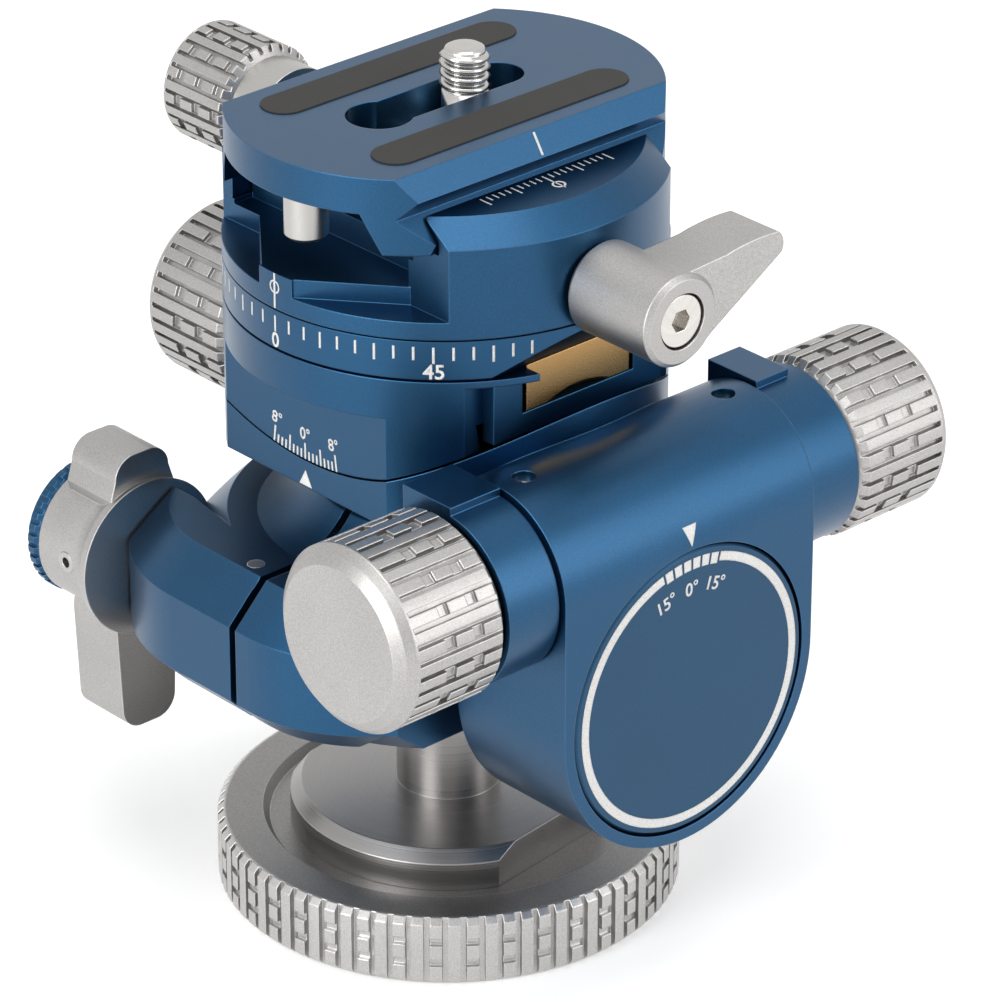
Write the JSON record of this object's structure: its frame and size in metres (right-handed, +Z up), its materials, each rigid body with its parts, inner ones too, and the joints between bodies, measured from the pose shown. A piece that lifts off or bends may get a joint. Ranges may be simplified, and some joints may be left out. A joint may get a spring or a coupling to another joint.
{
  "type": "geared tripod head",
  "caption": "Geared tripod head: ball clamp on a knurled base, worm-driven tilt housing, toothed roll cradle, panning clamp with a dovetail camera plate and a threaded screw.",
  "frame": {"origin": "centre of the base's underside, on the tripod thread's axis", "axes": "+X along the camera plate and the tilt drive, -Y towards the tilt dial and the pan lock lever, +Z up towards the camera"},
  "size_m": [0.0922, 0.0905, 0.1145],
  "materials": {
    "blue_anodised": "satin, bead blasted and anodised",
    "silver_anodised": "satin, bead blasted",
    "brass": "turned and milled",
    "steel": "turned",
    "rubber": "matt, fine grain",
    "seat_plastic": "plain"
  },
  "bodies": {
    "base": {"base_disc": "silver_anodised", "ball_stem": "silver_anodised"},
    "pan_seat": {"lower_ball_seat": "seat_plastic"},
    "tilt_seat": {"upper_ball_seat": "seat_plastic"},
    "ball_clamp": {"clamp_front_half": "blue_anodised", "clamp_rear_half": "blue_anodised", "clamp_dowel": "steel", "clamp_joint_screws": "steel", "clamp_packing_plate": "silver_anodised", "tilt_worm_wheel": "brass", "axle_thrust_washer": "brass", "axle_nut": "steel", "tilt_dial_plate": "blue_anodised"},
    "clamp_lever": {"clamp_wing_lever": "silver_anodised", "clamp_screw": "steel", "lever_set_screw": "steel"},
    "dial": {"friction_dial": "blue_anodised"},
    "tilt_head": {"tilt_housing": "blue_anodised", "axle_bush": "brass", "sleeve_grub_screws": "steel", "worm_sleeve_left": "blue_anodised", "worm_sleeve_right": "blue_anodised", "roll_worm_bush": "brass", "guide_rail_left": "blue_anodised", "guide_rail_right": "blue_anodised"},
    "tilt_worm": {"tilt_worm_shaft": "steel", "tilt_knob_left": "silver_anodised", "tilt_knob_right": "silver_anodised"},
    "roll_cradle": {"roll_block": "blue_anodised", "window_cover": "blue_anodised", "roll_sector": "brass", "pan_scale_ring": "blue_anodised", "pan_spindle": "steel", "pan_spindle_cap": "steel"},
    "roll_worm": {"roll_worm_shaft": "steel", "roll_knob": "silver_anodised"},
    "plate_clamp": {"pan_clamp_body": "blue_anodised", "pan_brake_pad": "seat_plastic", "jaw_guide_pins": "steel"},
    "lock_lever": {"pan_lever": "silver_anodised", "pan_lock_screw": "steel", "pan_lever_cap_screw": "steel"},
    "jaw": {"clamp_jaw": "blue_anodised"},
    "jaw_drive": {"jaw_knob": "silver_anodised", "jaw_screw": "steel"},
    "plate": {"camera_plate": "blue_anodised", "rubber_strip_front": "rubber", "rubber_strip_rear": "rubber", "plate_stop_pin": "steel"},
    "screw_slider": {"camera_screw_washer": "steel"},
    "screw": {"camera_screw": "steel"}
  },
  "joints": [
    {"name": "ball_pan", "type": "hinge", "parent": "base", "child": "pan_seat", "pos_m": [0, 0, 0.0441], "axis": [0, 0, 1], "continuous": true},
    {"name": "ball_tilt_x", "type": "hinge", "parent": "pan_seat", "child": "tilt_seat", "pos_m": [0, 0, 0.0441], "axis": [1, 0, 0], "range_deg": [-10, 10]},
    {"name": "ball_tilt_y", "type": "hinge", "parent": "tilt_seat", "child": "ball_clamp", "pos_m": [0, 0, 0.0441], "axis": [0, 1, 0], "range_deg": [-10, 10]},
    {"name": "clamp_lever_turn", "type": "hinge", "parent": "ball_clamp", "child": "clamp_lever", "pos_m": [-0.0265, 0.033, 0.0441], "axis": [0, 1, 0], "range_deg": [-45, 45]},
    {"name": "friction_dial_turn", "type": "hinge", "parent": "clamp_lever", "child": "dial", "pos_m": [-0.0265, 0.039, 0.0441], "axis": [0, 1, 0], "range_deg": [-150, 150]},
    {"name": "head_tilt", "type": "hinge", "parent": "ball_clamp", "child": "tilt_head", "pos_m": [0, -0.0323, 0.0441], "axis": [0, 1, 0], "range_deg": [-15, 15]},
    {"name": "tilt_worm_turn", "type": "hinge", "parent": "tilt_head", "child": "tilt_worm", "pos_m": [0, -0.0323, 0.0626], "axis": [1, 0, 0], "range_deg": [-600, 600]},
    {"name": "head_roll", "type": "hinge", "parent": "tilt_head", "child": "roll_cradle", "pos_m": [0, 0, 0.1093], "axis": [1, 0, 0], "range_deg": [-8, 8]},
    {"name": "roll_worm_turn", "type": "hinge", "parent": "tilt_head", "child": "roll_worm", "pos_m": [0, 0, 0.0682], "axis": [0, 1, 0], "range_deg": [-816, 816]},
    {"name": "pan_turn", "type": "hinge", "parent": "roll_cradle", "child": "plate_clamp", "pos_m": [0, 0, 0.0919], "axis": [0, 0, 1], "continuous": true},
    {"name": "lock_lever_turn", "type": "hinge", "parent": "plate_clamp", "child": "lock_lever", "pos_m": [0, -0.035, 0.093], "axis": [0, 1, 0], "range_deg": [-90, 0]},
    {"name": "jaw_slide", "type": "slide", "parent": "plate_clamp", "child": "jaw", "axis": [0, 1, 0], "range_m": [0, 0.003]},
    {"name": "jaw_knob_turn", "type": "hinge", "parent": "jaw", "child": "jaw_drive", "pos_m": [0, 0.0355, 0.0968], "axis": [0, 1, 0], "range_deg": [0, 720]},
    {"name": "plate_slide", "type": "slide", "parent": "plate_clamp", "child": "plate", "axis": [1, 0, 0], "range_m": [-0.015, 0.004]},
    {"name": "screw_slide", "type": "slide", "parent": "plate", "child": "screw_slider", "axis": [1, 0, 0], "range_m": [-0.011, 0.005]},
    {"name": "camera_screw_turn", "type": "hinge", "parent": "screw_slider", "child": "screw", "pos_m": [0.0032, 0, 0.108], "axis": [0, 0, 1], "continuous": true}
  ],
  "couplings": [
    {"joint": "tilt_worm_turn", "follows": "head_tilt", "ratio": 40},
    {"joint": "roll_worm_turn", "follows": "head_roll", "ratio": -102},
    {"joint": "jaw_knob_turn", "follows": "jaw_slide", "rad_per_m": 4188.8}
  ]
}
